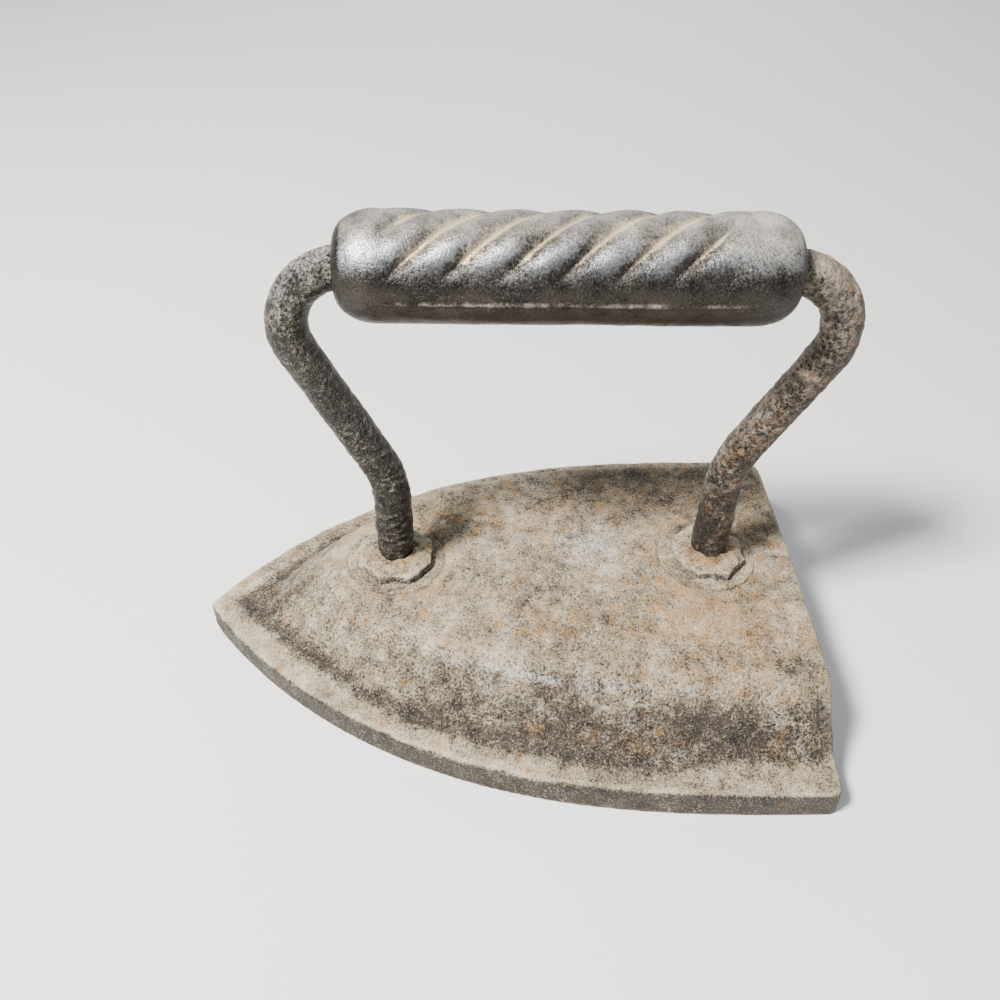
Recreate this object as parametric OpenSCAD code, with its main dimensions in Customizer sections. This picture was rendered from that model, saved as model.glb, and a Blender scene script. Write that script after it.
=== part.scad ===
// Flat iron for the stove top: a solid cast body, a bent wrought rod and a fluted cast grip.
// +Z is up and +X points to the toe. The origin lies under the middle of the sole.

/* [Sole] */
// Length of the sole from heel to toe
sole_length = 169.5; // [137:0.5:205]
// Greatest width of the sole, at the heel
sole_width = 130; // [106:1:160]
// Height of the upright band round the sole
band_height = 9.5; // [6:0.5:13]
// Fullness of the sides: a higher value keeps the width further towards the toe
side_fullness = 3; // [2.4:0.1:3.8]
// Power of the toe's curve: a lower value makes a blunter toe
toe_power = 0.91; // [0.8:0.01:1]
// Rounding of the band's upper edge
edge_round = 1.4; // [0.6:0.1:2]
// Rounding of the sole's edge
sole_round = 0.8; // [0.3:0.1:1.2]

/* [Crown] */
// Height of the body at its middle
body_height = 28.5; // [24:0.5:35]
// Width of the ledge between the band and the crown
ledge_width = 6.5; // [4:0.5:9]
// Rise of the ledge from the band to the crown
ledge_rise = 0.4; // [0.2:0.1:1.5]
// Distance from the sole's edge to the crown's shoulder
shoulder_inset = 25; // [20:1:30]
// Rise of the top from the shoulder to the middle
dome_rise = 3; // [1:0.5:5]
// How many times further the crown steps back at the toe than at the sides
toe_setback = 1.7; // [1.3:0.1:2]
// Power of the crown's curve at its shoulder, as toe_power is for the sole
crown_power = 0.52; // [0.46:0.01:0.8]
// How far the top of the heel leans forward
heel_lean = 2; // [0:0.5:4]

/* [Handle rod] */
// Diameter of the rod
rod_d = 10; // [8:0.5:12]
// Distance from the toe to the middle of the front leg
front_foot = 55; // [50:1:66]
// Distance from the heel to the middle of the rear leg
rear_foot = 27; // [22:0.5:32]
// Height above the body at which the front leg starts to lean forward
front_knee = 29; // [26:1:36]
// Height above the body at which the rear leg starts to lean back
rear_knee = 34; // [26:1:40]
// Bend radius at the knees
knee_bend = 32; // [20:1:40]
// Bend radius where the front leg turns into the grip
front_bend = 15; // [12:0.5:18]
// Bend radius where the rear leg turns into the grip
rear_bend = 16; // [12:0.5:18]
// Depth of each leg in the body, below its washer
socket_depth = 14; // [10:1:16]
// Diameter of the upset head that holds each leg in the casting
head_d = 14; // [13:0.5:16]
// Thickness of the upset head
head_height = 4; // [3:0.5:5]

/* [Nuts and washers] */
// Width of a nut across its corners
nut_width = 22; // [19:0.5:24]
// Thickness of a nut
nut_height = 3.2; // [2.5:0.1:5]
// Number of sides of a nut
nut_sides = 8; // [6:1:8]
// Diameter of a washer
washer_d = 27; // [25:0.5:28]
// Thickness of a washer
washer_height = 1.6; // [1:0.1:2.5]

/* [Grip] */
// Length of the grip
grip_length = 103; // [86:1:124]
// Diameter of the grip
grip_d = 25; // [23:0.5:30]
// How far the middle of the grip lies in front of the middle between the legs
grip_shift = 1.75; // [0:0.25:4]
// Gap for the fingers, from the body to the underside of the grip
finger_gap = 77.5; // [65:0.5:93]
// Rounding of the grip's ends
grip_round = 7; // [4:0.5:7.5]
// Wall of the hollow grip
grip_wall = 3.5; // [3:0.1:4]
// Thickness of the grip's closed ends
end_wall = 6; // [4:0.5:8]
// How far each end of the grip reaches past the start of the rod's bend
end_overhang = 3; // [1:0.5:3.5]
// Distance along the grip from one groove to the next
flute_pitch = 12.1; // [9:0.1:16]
// Length along the grip in which a groove would make a full turn
flute_lead = 80; // [60:1:100]
// How far past the front of the fluting a groove would meet the seam
flute_phase = 2.7; // [0:0.1:9]
// Depth of the grooves
flute_depth = 1; // [0.4:0.1:1.4]
// Plain length at the front of the grip
front_plain = 11; // [8:1:20]
// Plain length at the rear of the grip
rear_plain = 17; // [8:1:24]
// How far the casting seam stands out on each side
seam_height = 0.4; // [0.2:0.1:0.8]

/* [Fits] */
// Gap round the legs in the body, the washers and the nuts
leg_gap = 0.2; // [0.1:0.05:0.3]
// Gap round a washer in its seat
seat_gap = 0.3; // [0.2:0.05:0.4]
// Gap round the rod where it leaves the grip
mouth_gap = 0.6; // [0.5:0.05:0.8]
// Gap between the core and the grip's inner wall, and between the core and the rod
core_gap = 0.25; // [0.15:0.05:0.35]

/* [Hidden] */
$fn = 64;

side_steps = 34;
cove_steps = 12;
dome_steps = 6;
arc_steps = 3;
rod_sides = 24;
knee_steps = 5;
bend_steps = 14;
flute_steps = 16;
flute_sides = 10;
flute_round = 2.2;
seam_width = 0.8;
past = 5;

toe_x = sole_length / 2;
heel_x = -sole_length / 2;
half_width = sole_width / 2;
ledge_z = band_height + ledge_rise;
front_x = toe_x - front_foot;
rear_x = heel_x + rear_foot;
grip_x = (front_x + rear_x) / 2 + grip_shift;
grip_z = body_height + finger_gap + grip_d / 2;
front_bend_x = grip_x + grip_length / 2 - end_overhang;
rear_bend_x = grip_x - grip_length / 2 + end_overhang;
cavity_d = grip_d - 2 * grip_wall;
fluted_length = grip_length - front_plain - rear_plain;
flute_front = grip_length / 2 - front_plain;
flute_rear = rear_plain - grip_length / 2;
flute_least = 8;
first_flute = ceil((flute_rear - flute_front - flute_phase + flute_least) / flute_pitch);
last_flute = floor((flute_lead / 2 - flute_phase - flute_least) / flute_pitch);

// Smooth step from 0 to 1, flat at both ends
function ease(t) = t <= 0 ? 0 : t >= 1 ? 1 : t * t * (3 - 2 * t);

// Height of the crown at a distance in from the edge: a cove, a shoulder and a low dome
function crown_z(inset) =
    ledge_z
    + (body_height - dome_rise - ledge_z)
        * ease((inset - ledge_width) / (shoulder_inset - ledge_width))
    + dome_rise * (1 - pow(1 - (inset - ledge_width) / (half_width - ledge_width), 2));

// Height of the crown over the centre line
function ridge_z(x) = crown_z(min(half_width, (toe_x - x) / toe_setback));

// Lean of the heel's flat face at a height
function heel_at(z) = heel_x + heel_lean * z / body_height;

// Inset and height of each contour of the body, from the sole's edge up to the middle
function contours() = concat(
    [for (i = [0:arc_steps]) let (a = 90 * i / arc_steps)
        [sole_round * (1 - sin(a)), sole_round * (1 - cos(a))]],
    [for (i = [0:arc_steps]) let (a = 90 * i / arc_steps)
        [edge_round * (1 - cos(a)), band_height - edge_round * (1 - sin(a))]],
    [for (i = [0:cove_steps]) let (d = ledge_width + (shoulder_inset - ledge_width) * i / cove_steps)
        [d, crown_z(d)]],
    [for (i = [1:dome_steps]) let (d = shoulder_inset + (half_width - 1 - shoulder_inset) * i / dome_steps)
        [d, crown_z(d)]]
);

// One point of a contour: u runs from 0 at the heel to 1 at the toe
function outline_point(inset, z, u, side) =
    let (
        back = heel_at(z),
        reach = toe_x - toe_setback * inset - back,
        power = toe_power + (crown_power - toe_power) * min(1, inset / shoulder_inset)
    )
    [back + reach * u, side * (half_width - inset) * pow(1 - pow(u, side_fullness), power), z];

// A closed contour, from the heel round the toe and back to the heel
function contour(inset, z) = concat(
    [for (i = [0:side_steps]) outline_point(inset, z, sin(90 * i / side_steps), -1)],
    [for (i = [side_steps - 1:-1:0]) outline_point(inset, z, sin(90 * i / side_steps), 1)]
);

// The outer skin of the casting as one closed solid
module body_skin() {
    levels = contours();
    ring = 2 * side_steps + 1;
    rings = len(levels);
    points = [for (level = levels) each contour(level[0], level[1])];
    walls = [for (k = [0:rings - 2]) for (i = [0:ring - 1])
        let (a = k * ring + i, b = k * ring + (i + 1) % ring)
        each [[a, b + ring, b], [a, a + ring, b + ring]]];
    sole = [for (i = [0:ring - 1]) i];
    top = [for (i = [ring - 1:-1:0]) (rings - 1) * ring + i];
    polyhedron(points = points, faces = concat([sole, top], walls), convexity = 6);
}

// Seat of a washer and the hole below it, which widens at its foot round the leg's head
module leg_socket(x) {
    seat = ridge_z(x) - washer_height;
    foot = seat - socket_depth;
    translate([x, 0, seat])
        cylinder(d = washer_d + 2 * seat_gap, h = washer_height + past);
    translate([x, 0, foot])
        cylinder(d = rod_d + 2 * leg_gap, h = socket_depth + past);
    translate([x, 0, foot])
        cylinder(d = head_d + 2 * leg_gap, h = head_height + leg_gap);
}

module iron_body() {
    color([0.56, 0.52, 0.46])
    difference() {
        body_skin();
        leg_socket(front_x);
        leg_socket(rear_x);
    }
}

// Stations of one leg from its head up to the grip, drawn as if it leaned to +X:
// each holds its x, its z, the rod's heading and its radius
function leg_stations(foot_x, foot_z, knee_z, bend_x, bend) =
    let (
        centre = [bend_x, grip_z - bend],
        away = [bend_x - foot_x, centre[1] - knee_z],
        lean = atan2(away[0], away[1]) + asin(bend / norm(away)),
        knee = [foot_x + knee_bend, knee_z - knee_bend * tan(lean / 2)],
        head_z = foot_z + head_height,
        r = rod_d / 2
    )
    concat(
        [[foot_x, foot_z, 90, head_d / 2], [foot_x, head_z, 90, head_d / 2], [foot_x, head_z, 90, r]],
        [for (i = [0:knee_steps]) let (a = lean * i / knee_steps)
            [knee[0] - knee_bend * cos(a), knee[1] + knee_bend * sin(a), 90 - a, r]],
        [for (i = [0:bend_steps]) let (a = (90 + lean) * i / bend_steps - lean)
            [centre[0] + bend * cos(a), centre[1] + bend * sin(a), 90 + a, r]]
    );

// A station seen in the mirror and passed the other way
function turned(s) = [-s[0], s[1], 360 - s[2], s[3]];

// The whole rod, from the head of its front leg to the head of its rear leg
function rod_stations() =
    let (
        front = leg_stations(front_x, ridge_z(front_x) - washer_height - socket_depth,
            body_height + front_knee, front_bend_x, front_bend),
        rear = leg_stations(-rear_x, ridge_z(rear_x) - washer_height - socket_depth,
            body_height + rear_knee, -rear_bend_x, rear_bend)
    )
    concat(front, [for (i = [len(rear) - 1:-1:0]) turned(rear[i])]);

module handle_rod() {
    stations = rod_stations();
    last = len(stations) - 1;
    points = [for (s = stations) for (j = [0:rod_sides - 1]) let (a = 360 * j / rod_sides)
        [s[0] - s[3] * cos(a) * sin(s[2]), s[3] * sin(a), s[1] + s[3] * cos(a) * cos(s[2])]];
    walls = [for (k = [0:last - 1]) for (j = [0:rod_sides - 1])
        let (a = k * rod_sides + j, b = k * rod_sides + (j + 1) % rod_sides)
        each [[a, b + rod_sides, b], [a, a + rod_sides, b + rod_sides]]];
    start = [for (j = [0:rod_sides - 1]) j];
    end = [for (j = [rod_sides - 1:-1:0]) last * rod_sides + j];
    color([0.27, 0.22, 0.19])
        polyhedron(points = points, faces = concat([start, end], walls), convexity = 8);
}

// Washer let into the crown, level with it
module washer(x) {
    translate([x, 0, ridge_z(x) - washer_height])
    difference() {
        cylinder(d = washer_d, h = washer_height);
        translate([0, 0, -past])
            cylinder(d = rod_d + 2 * leg_gap, h = washer_height + 2 * past);
    }
}

// Flat nut on its washer, with the corners of its upper face turned off
module nut(x) {
    translate([x, 0, ridge_z(x)])
    difference() {
        intersection() {
            rotate([0, 0, 180 / nut_sides])
                cylinder(d = nut_width, h = nut_height, $fn = nut_sides);
            cylinder(d1 = nut_width + 2 * nut_height, d2 = nut_width - 1.2, h = nut_height);
        }
        translate([0, 0, -past])
            cylinder(d = rod_d + 2 * leg_gap, h = nut_height + 2 * past);
    }
}

module front_washer() {
    color([0.50, 0.46, 0.40])
        washer(front_x);
}

module rear_washer() {
    color([0.50, 0.46, 0.40])
        washer(rear_x);
}

module front_nut() {
    color([0.62, 0.57, 0.49])
        nut(front_x);
}

module rear_nut() {
    color([0.62, 0.57, 0.49])
        nut(rear_x);
}

// Places its children at the middle of the grip, with their Z axis along the grip
module along_grip() {
    translate([grip_x, 0, grip_z])
    rotate([0, 90, 0])
        children();
}

// Round bar with rounded ends, about the Z axis
module grip_blank() {
    rotate_extrude() {
        translate([0, -grip_length / 2])
            square([grip_d / 2 - grip_round, grip_length]);
        translate([0, -grip_length / 2 + grip_round])
            square([grip_d / 2, grip_length - 2 * grip_round]);
        for (end = [-1, 1])
        intersection() {
            translate([grip_d / 2 - grip_round, end * (grip_length / 2 - grip_round)])
                circle(r = grip_round);
            translate([0, -grip_length / 2])
                square([grip_d / 2, grip_length]);
        }
    }
}

// Cutter of one spiral groove over the top of the grip, fading out at both of its ends.
// It crosses the seam's level at a place along the grip, and its turn starts at the seam.
module flute(place) {
    from = max(4, 360 * (place - flute_front) / flute_lead);
    to = min(176, 360 * (place - flute_rear) / flute_lead);
    pitch_angle = atan2(PI * grip_d, flute_lead);
    deepest = flute_depth * min(1, (to - from) / 45);
    points = [for (k = [0:flute_steps]) for (j = [0:flute_sides - 1])
        let (
            s = k / flute_steps,
            turn = from + (to - from) * s,
            depth = deepest * (1.3 * min(1, 5 * s, 5 * (1 - s)) - 0.3),
            a = 360 * j / flute_sides,
            out = grip_d / 2 + flute_round * (1 + cos(a)) - depth,
            across = flute_round * sin(a)
        )
        [
            -out * sin(turn) - across * cos(pitch_angle) * cos(turn),
            out * cos(turn) - across * cos(pitch_angle) * sin(turn),
            place - flute_lead * turn / 360 + across * sin(pitch_angle)
        ]];
    walls = [for (k = [0:flute_steps - 1]) for (j = [0:flute_sides - 1])
        let (a = k * flute_sides + j, b = k * flute_sides + (j + 1) % flute_sides)
        each [[a, b, b + flute_sides], [a, b + flute_sides, a + flute_sides]]];
    start = [for (j = [flute_sides - 1:-1:0]) j];
    end = [for (j = [0:flute_sides - 1]) flute_steps * flute_sides + j];
    polyhedron(points = points, faces = concat([start, end], walls), convexity = 4);
}

module grip() {
    color([0.30, 0.28, 0.27])
    along_grip()
    difference() {
        union() {
            difference() {
                grip_blank();
                for (k = [first_flute:last_flute])
                    flute(flute_front + flute_phase + flute_pitch * k);
            }
            translate([-seam_width / 2, -grip_d / 2 - seam_height, rear_plain - grip_length / 2])
                cube([seam_width, grip_d + 2 * seam_height, fluted_length]);
        }
        translate([0, 0, end_wall - grip_length / 2])
            cylinder(d = cavity_d, h = grip_length - 2 * end_wall);
        translate([0, 0, -grip_length / 2 - past])
            cylinder(d = rod_d + 2 * mouth_gap, h = grip_length + 2 * past);
    }
}

// Baked core that fills the grip round the rod
module grip_core() {
    color([0.55, 0.38, 0.27])
    along_grip()
    translate([0, 0, end_wall + core_gap - grip_length / 2])
    difference() {
        cylinder(d = cavity_d - 2 * core_gap, h = grip_length - 2 * end_wall - 2 * core_gap);
        translate([0, 0, -past])
            cylinder(d = rod_d + 2 * core_gap, h = grip_length + 2 * past);
    }
}

iron_body();
handle_rod();
front_washer();
rear_washer();
front_nut();
rear_nut();
grip();
grip_core();
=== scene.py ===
"""Looks of a flat iron for the stove top: cast body, bent wrought rod, nuts, washers and fluted cast grip."""
import logging
import math
from abc import ABC, abstractmethod
from dataclasses import dataclass
from enum import Enum
from typing import Any, Callable, ClassVar, Optional, Union

import bmesh
import bpy
import numpy as np
from mathutils import Matrix, Vector, noise


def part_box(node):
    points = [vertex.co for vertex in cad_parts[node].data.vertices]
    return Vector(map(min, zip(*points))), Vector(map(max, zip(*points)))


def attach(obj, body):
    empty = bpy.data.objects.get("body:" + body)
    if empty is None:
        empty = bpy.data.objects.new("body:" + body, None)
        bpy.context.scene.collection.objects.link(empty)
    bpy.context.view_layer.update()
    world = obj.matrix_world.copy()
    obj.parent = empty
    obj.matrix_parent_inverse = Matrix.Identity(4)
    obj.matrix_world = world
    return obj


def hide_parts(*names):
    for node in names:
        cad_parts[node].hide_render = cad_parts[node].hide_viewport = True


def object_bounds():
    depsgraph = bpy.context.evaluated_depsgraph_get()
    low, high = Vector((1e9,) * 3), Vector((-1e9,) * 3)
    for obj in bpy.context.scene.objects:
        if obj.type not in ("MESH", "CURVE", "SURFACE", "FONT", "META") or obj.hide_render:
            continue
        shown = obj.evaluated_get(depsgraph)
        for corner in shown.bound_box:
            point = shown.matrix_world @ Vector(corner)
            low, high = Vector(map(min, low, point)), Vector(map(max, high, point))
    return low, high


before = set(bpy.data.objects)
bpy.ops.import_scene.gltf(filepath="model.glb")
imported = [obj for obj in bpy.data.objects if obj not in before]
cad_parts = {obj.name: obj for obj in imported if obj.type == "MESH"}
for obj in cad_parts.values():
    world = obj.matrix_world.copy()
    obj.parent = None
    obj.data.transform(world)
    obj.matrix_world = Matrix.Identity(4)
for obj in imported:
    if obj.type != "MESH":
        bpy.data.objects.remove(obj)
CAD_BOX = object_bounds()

LOG = logging.getLogger("flat_iron")
MM = 0.001
JOIN = 0.01 * MM  # vertices nearer than this are one
SPARE = 0.02  # how far inside its box a piece is held, in millimetres
OVERSHOOT = 2.0  # how far a cutting tool passes a face, in millimetres
NOISE_GAIN = 3.2  # brings the noise texture, which keeps near its middle, to about -1 to 1
WEIGHT_STEPS = 64
TOOL_SIDES = 64
ACROSS = (0, 1, 0)  # the axis that every bend of the rod turns about

Colour = tuple[float, float, float]
Point = tuple[float, float, float]
Rows = np.ndarray
Field = Callable[[Rows, Rows], Rows]


class Slot(Enum):
    """The record's material slots."""

    BODY = "body_iron"
    ROD = "rod_iron"
    NUT = "nut_iron"
    GRIP = "grip_iron"
    CORE = "core_clay"


class Zone(Enum):
    """What each surface attribute says to the finishes; the first also carries painted light and shade, the
    third also painted highlights and sheen.
    """

    DUST_AND_LIGHT = "dust"
    RUST = "rust"
    WEAR_AND_SHEEN = "worn"
    RELIEF = "relief"


# --- Small sums ---------------------------------------------------------------------------


def fade(value: Rows, low: float, high: float) -> Rows:
    """Smooth step of an array.

    Args:
        value: the numbers to step.
        low: where the step starts, as 0.
        high: where the step ends, as 1; it may lie below low.

    Returns:
        Numbers from 0 to 1.
    """
    t = np.clip((value - low) / (high - low), 0.0, 1.0)
    return t * t * (3.0 - 2.0 * t)


def around(value: Rows, middle: float, reach: float) -> Rows:
    """Bell over a middle, 1 there and near 0 two reaches away."""
    return np.exp(-(((value - middle) / reach) ** 2))


def grain(points: Rows, size: Union[float, Point], seed: float, octaves: int = 1) -> Rows:
    """Noise at each point.

    Args:
        points: places in millimetres, one to a row.
        size: size of one lump in millimetres, or one size for each axis.
        seed: shift of the pattern, so that no two patterns are the same.
        octaves: how many halvings of the lump are added.

    Returns:
        One number for each point, mostly from -1 to 1.
    """
    spots = points / np.asarray(size, dtype=float) + seed
    total = np.zeros(len(spots))
    for step in range(octaves):
        scale = 2.0**step
        total += np.fromiter((noise.noise(Vector(p)) for p in spots * scale), float, len(spots)) / scale
    return total


def centre_x(node: str) -> float:
    """Middle of a CAD node along X, in millimetres."""
    low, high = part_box(node)
    return (low[0] + high[0]) / 2 / MM


def reach_of(node: str) -> float:
    """Radius of a round CAD node in millimetres."""
    low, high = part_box(node)
    return (high[0] - low[0]) / 2 / MM


def foot_z(node: str) -> float:
    """Lowest height of a CAD node, in millimetres."""
    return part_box(node)[0][2] / MM


def away_from(node: str, points: Rows) -> Rows:
    """Distance of each point in millimetres from the upright axis of a CAD node."""
    return np.hypot(points[:, 0] - centre_x(node), points[:, 1])


# --- The bench: every mesh starts and is worked on here ------------------------------------


class Bench:
    """One piece while it is being made, from its primitive to its finished mesh."""

    def __init__(self, name: str) -> None:
        """Names the piece that the next primitive becomes."""
        self.name = name
        self.piece: Optional[bpy.types.Object] = None

    def primitive(self, operator: Callable[..., Any], **sizes: Any) -> None:
        """Adds a primitive and takes it as the piece, in edit mode with all of it selected.

        Args:
            operator: one of bpy.ops.mesh's primitives.
            sizes: the operator's own settings, in metres.
        """
        bpy.ops.object.select_all(action="DESELECT")
        operator(**sizes)
        self.piece = bpy.context.object
        self.piece.name = self.piece.data.name = self.name
        bpy.ops.object.transform_apply(location=True, rotation=True, scale=True)
        bpy.ops.object.mode_set(mode="EDIT")
        bpy.ops.mesh.select_all(action="SELECT")

    def loop(self, count: int) -> None:
        """Starts the piece as an open ring of vertices, one metre in radius."""
        self.primitive(bpy.ops.mesh.primitive_circle_add, vertices=count, radius=1.0, fill_type="NOTHING")

    def order(self, count: int) -> Rows:
        """Place in the ring, from 0 to count - 1, of each vertex that came from a ring of count."""
        x, y, _ = self.places().T
        return np.round(np.arctan2(y, x) / (2 * math.pi) * count).astype(int) % count

    def pull(self, x: float, z: float) -> None:
        """Extrudes what is selected by a step in millimetres."""
        bpy.ops.mesh.extrude_region_move(TRANSFORM_OT_translate={"value": (x * MM, 0, z * MM)})

    def swell(self, middle: Point, share: float) -> None:
        """Extrudes the open end in place and scales it.

        Args:
            middle: what it is scaled about, in millimetres.
            share: how many times as wide it becomes.
        """
        self.pull(0, 0)
        at = tuple(c * MM for c in middle)
        bpy.ops.transform.resize(value=(share, share, share), center_override=at)

    def sweep(self, middle: Point, axis: Point, degrees: float, steps: int) -> None:
        """Turns what is selected about an axis and leaves a skin behind it.

        Args:
            middle: a point on the axis, in millimetres.
            axis: direction of the axis.
            degrees: how far it turns.
            steps: how many facets the skin has.
        """
        at = tuple(c * MM for c in middle)
        bpy.ops.mesh.spin(steps=steps, angle=-math.radians(degrees), center=at, axis=axis)

    def close(self, cap: bool) -> None:
        """Joins doubles, turns all faces outwards and leaves edit mode.

        Args:
            cap: whether every open ring gets a face.
        """
        bpy.ops.mesh.select_all(action="SELECT")
        bpy.ops.mesh.remove_doubles(threshold=JOIN)
        if cap:
            bpy.ops.mesh.select_all(action="DESELECT")
            bpy.ops.mesh.select_non_manifold()
            bpy.ops.mesh.edge_face_add()
            bpy.ops.mesh.select_all(action="SELECT")
        bpy.ops.mesh.normals_make_consistent(inside=False)
        self.rest()

    def select_where(self, test: Callable[[Vector], bool]) -> None:
        """Selects some vertices and nothing else.

        Args:
            test: says for a place in millimetres whether its vertex is wanted.
        """
        bpy.ops.mesh.select_all(action="DESELECT")
        mesh = bmesh.from_edit_mesh(self.piece.data)
        for vertex in mesh.verts:
            vertex.select = test(vertex.co / MM)
        mesh.select_flush_mode()
        bmesh.update_edit_mesh(self.piece.data)

    def rest(self) -> None:
        """Leaves edit mode."""
        bpy.ops.object.mode_set(mode="OBJECT")

    def finish_with(self, kind: str, **settings: Any) -> None:
        """Adds a modifier and applies it.

        Args:
            kind: the modifier's type.
            settings: the modifier's own settings.
        """
        modifier = self.piece.modifiers.new(kind.lower(), kind)
        for key, value in settings.items():
            setattr(modifier, key, value)
        bpy.context.view_layer.objects.active = self.piece
        bpy.ops.object.modifier_apply(modifier=modifier.name)

    def bore(self, x: float, low: float, high: float, diameter: float) -> None:
        """Cuts an upright round hole in the middle plane.

        Args:
            x: its place in millimetres.
            low: height of its lower end.
            high: height of its upper end.
            diameter: its diameter.
        """
        cutter = Bench(f"{self.name}_cutter")
        cutter.primitive(
            bpy.ops.mesh.primitive_cylinder_add,
            vertices=TOOL_SIDES,
            radius=diameter / 2 * MM,
            depth=(high - low) * MM,
            location=(x * MM, 0, (low + high) / 2 * MM),
        )
        cutter.rest()
        self.finish_with("BOOLEAN", operation="DIFFERENCE", object=cutter.piece, solver="EXACT")
        bpy.data.objects.remove(cutter.piece)

    def even(self, voxel: float, relax: int) -> None:
        """Turns the mesh into small even faces.

        Args:
            voxel: size of a face in millimetres.
            relax: how many times the new faces are smoothed.
        """
        self.finish_with("REMESH", mode="VOXEL", voxel_size=voxel * MM, use_smooth_shade=True)
        self.finish_with("SMOOTH", factor=0.5, iterations=relax)

    def lump(self, size: float, height: float, group: str, middle: float = 0.5) -> None:
        """Raises and lowers the skin by a texture.

        Args:
            size: size of one lump in millimetres.
            height: height from the lowest to the highest in millimetres.
            group: vertex group that holds how much of it each point takes.
            middle: texture value that leaves the skin where it is.
        """
        texture = bpy.data.textures.new(f"{self.name}_clouds", "CLOUDS")
        texture.noise_scale = size * MM
        self.finish_with(
            "DISPLACE",
            texture=texture,
            texture_coords="LOCAL",
            strength=height * MM,
            mid_level=middle,
            vertex_group=group,
        )

    def rows(self, what: str) -> Rows:
        """Reads a vector from every vertex.

        Args:
            what: "co" for its place in metres or "normal" for its facing.

        Returns:
            A row of three for each vertex.
        """
        flat = np.empty(len(self.piece.data.vertices) * 3)
        self.piece.data.vertices.foreach_get(what, flat)
        return flat.reshape(-1, 3)

    def places(self) -> Rows:
        """Every vertex in millimetres, one to a row."""
        return self.rows("co") / MM

    def facings(self) -> Rows:
        """Every vertex's normal, one to a row."""
        return self.rows("normal")

    def place(self, points: Rows) -> None:
        """Puts every vertex at its row's place in millimetres."""
        self.piece.data.vertices.foreach_set("co", (points * MM).ravel())
        self.piece.data.update()

    def shift(self, along: Field) -> None:
        """Moves every vertex along its normal by a field that gives millimetres."""
        points, normals = self.places(), self.facings()
        self.place(points + normals * along(points, normals)[:, None])

    def group(self, name: str, weights: Rows) -> None:
        """Stores one weight from 0 to 1 for every vertex in even steps.

        Args:
            name: the vertex group's name.
            weights: a number for every vertex.
        """
        made = self.piece.vertex_groups.new(name=name)
        steps = np.round(np.clip(weights, 0, 1) * WEIGHT_STEPS).astype(int)
        for step in np.unique(steps):
            made.add(np.flatnonzero(steps == step).tolist(), step / WEIGHT_STEPS, "REPLACE")

    def keep_inside(self, low: Vector, high: Vector) -> None:
        """Holds every vertex inside a box given in metres, a little inside its faces."""
        inner = np.array(low) / MM + SPARE, np.array(high) / MM - SPARE
        self.place(np.clip(self.places(), *inner))

    def relief(self, rounds: int) -> Rows:
        """How far each vertex stands out of its neighbourhood.

        Args:
            rounds: how many rings of neighbours count.

        Returns:
            Millimetres, more than 0 on ridges and less in hollows.
        """
        edges = self.piece.data.edges
        pairs = np.empty(len(edges) * 2, dtype=np.int64)
        edges.foreach_get("vertices", pairs)
        pairs = pairs.reshape(-1, 2)
        here, there = np.concatenate([pairs, pairs[:, ::-1]]).T
        points = flat = self.places()
        share = np.bincount(here, minlength=len(points))
        for _ in range(rounds):
            sums = [np.bincount(here, column[there], len(points)) for column in flat.T]
            flat = np.stack(sums, axis=1) / share[:, None]
        return ((points - flat) * self.facings()).sum(axis=1)

    def mark(self, *levels: Rows) -> None:
        """Stores the levels that the finishes read, one number of each for every vertex.

        Args:
            levels: dust with painted light and shade, rust, wear with painted highlights and sheen, and
                relief, in the order of Zone.
        """
        for zone, values in zip(Zone, levels):
            layer = self.piece.data.attributes.new(zone.value, "FLOAT", "POINT")
            layer.data.foreach_set("value", np.ascontiguousarray(values, dtype=np.float32))

    def deliver(self, slot: Slot, finish: bpy.types.Material, *nodes: str) -> bpy.types.Object:
        """Dresses the piece, fixes it to the frame and reports it.

        Args:
            slot: the record's slot for its material; not used.
            finish: the material.
            nodes: the CAD nodes it stands for.

        Returns:
            The finished object.
        """
        self.piece.vertex_groups.clear()
        self.piece.data.materials.clear()
        self.piece.data.materials.append(finish)
        self.piece.data.shade_smooth()
        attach(self.piece, "root")
        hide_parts(*nodes)
        LOG.info("%s: %d faces", self.name, len(self.piece.data.polygons))
        return self.piece


# --- Finishes ------------------------------------------------------------------------------


class Signal:
    """A socket's output that can be used in sums."""

    def __init__(self, nodes: "Nodes", socket: bpy.types.NodeSocket) -> None:
        """Wraps a socket of one node tree."""
        self.nodes, self.socket = nodes, socket

    def __add__(self, other: "Number") -> "Signal":
        """Sum."""
        return self.nodes.maths("ADD", self, other)

    __radd__ = __add__

    def __sub__(self, other: "Number") -> "Signal":
        """Difference."""
        return self.nodes.maths("SUBTRACT", self, other)

    def __rsub__(self, other: "Number") -> "Signal":
        """Difference from a number."""
        return self.nodes.maths("SUBTRACT", other, self)

    def __mul__(self, other: "Number") -> "Signal":
        """Product."""
        return self.nodes.maths("MULTIPLY", self, other)

    __rmul__ = __mul__

    def step(self, low: float, high: float) -> "Signal":
        """Smooth step from 0 at low to 1 at high."""
        ends = {"Value": self, "From Min": low, "From Max": high}
        return self.nodes.add("ShaderNodeMapRange", {"interpolation_type": "SMOOTHSTEP"}, ends)

    def capped(self) -> "Signal":
        """The value held from 0 to 1."""
        return self.nodes.add("ShaderNodeClamp", {}, {"Value": self})


Number = Union[Signal, float]
Tint = Union[Signal, Colour]


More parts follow.
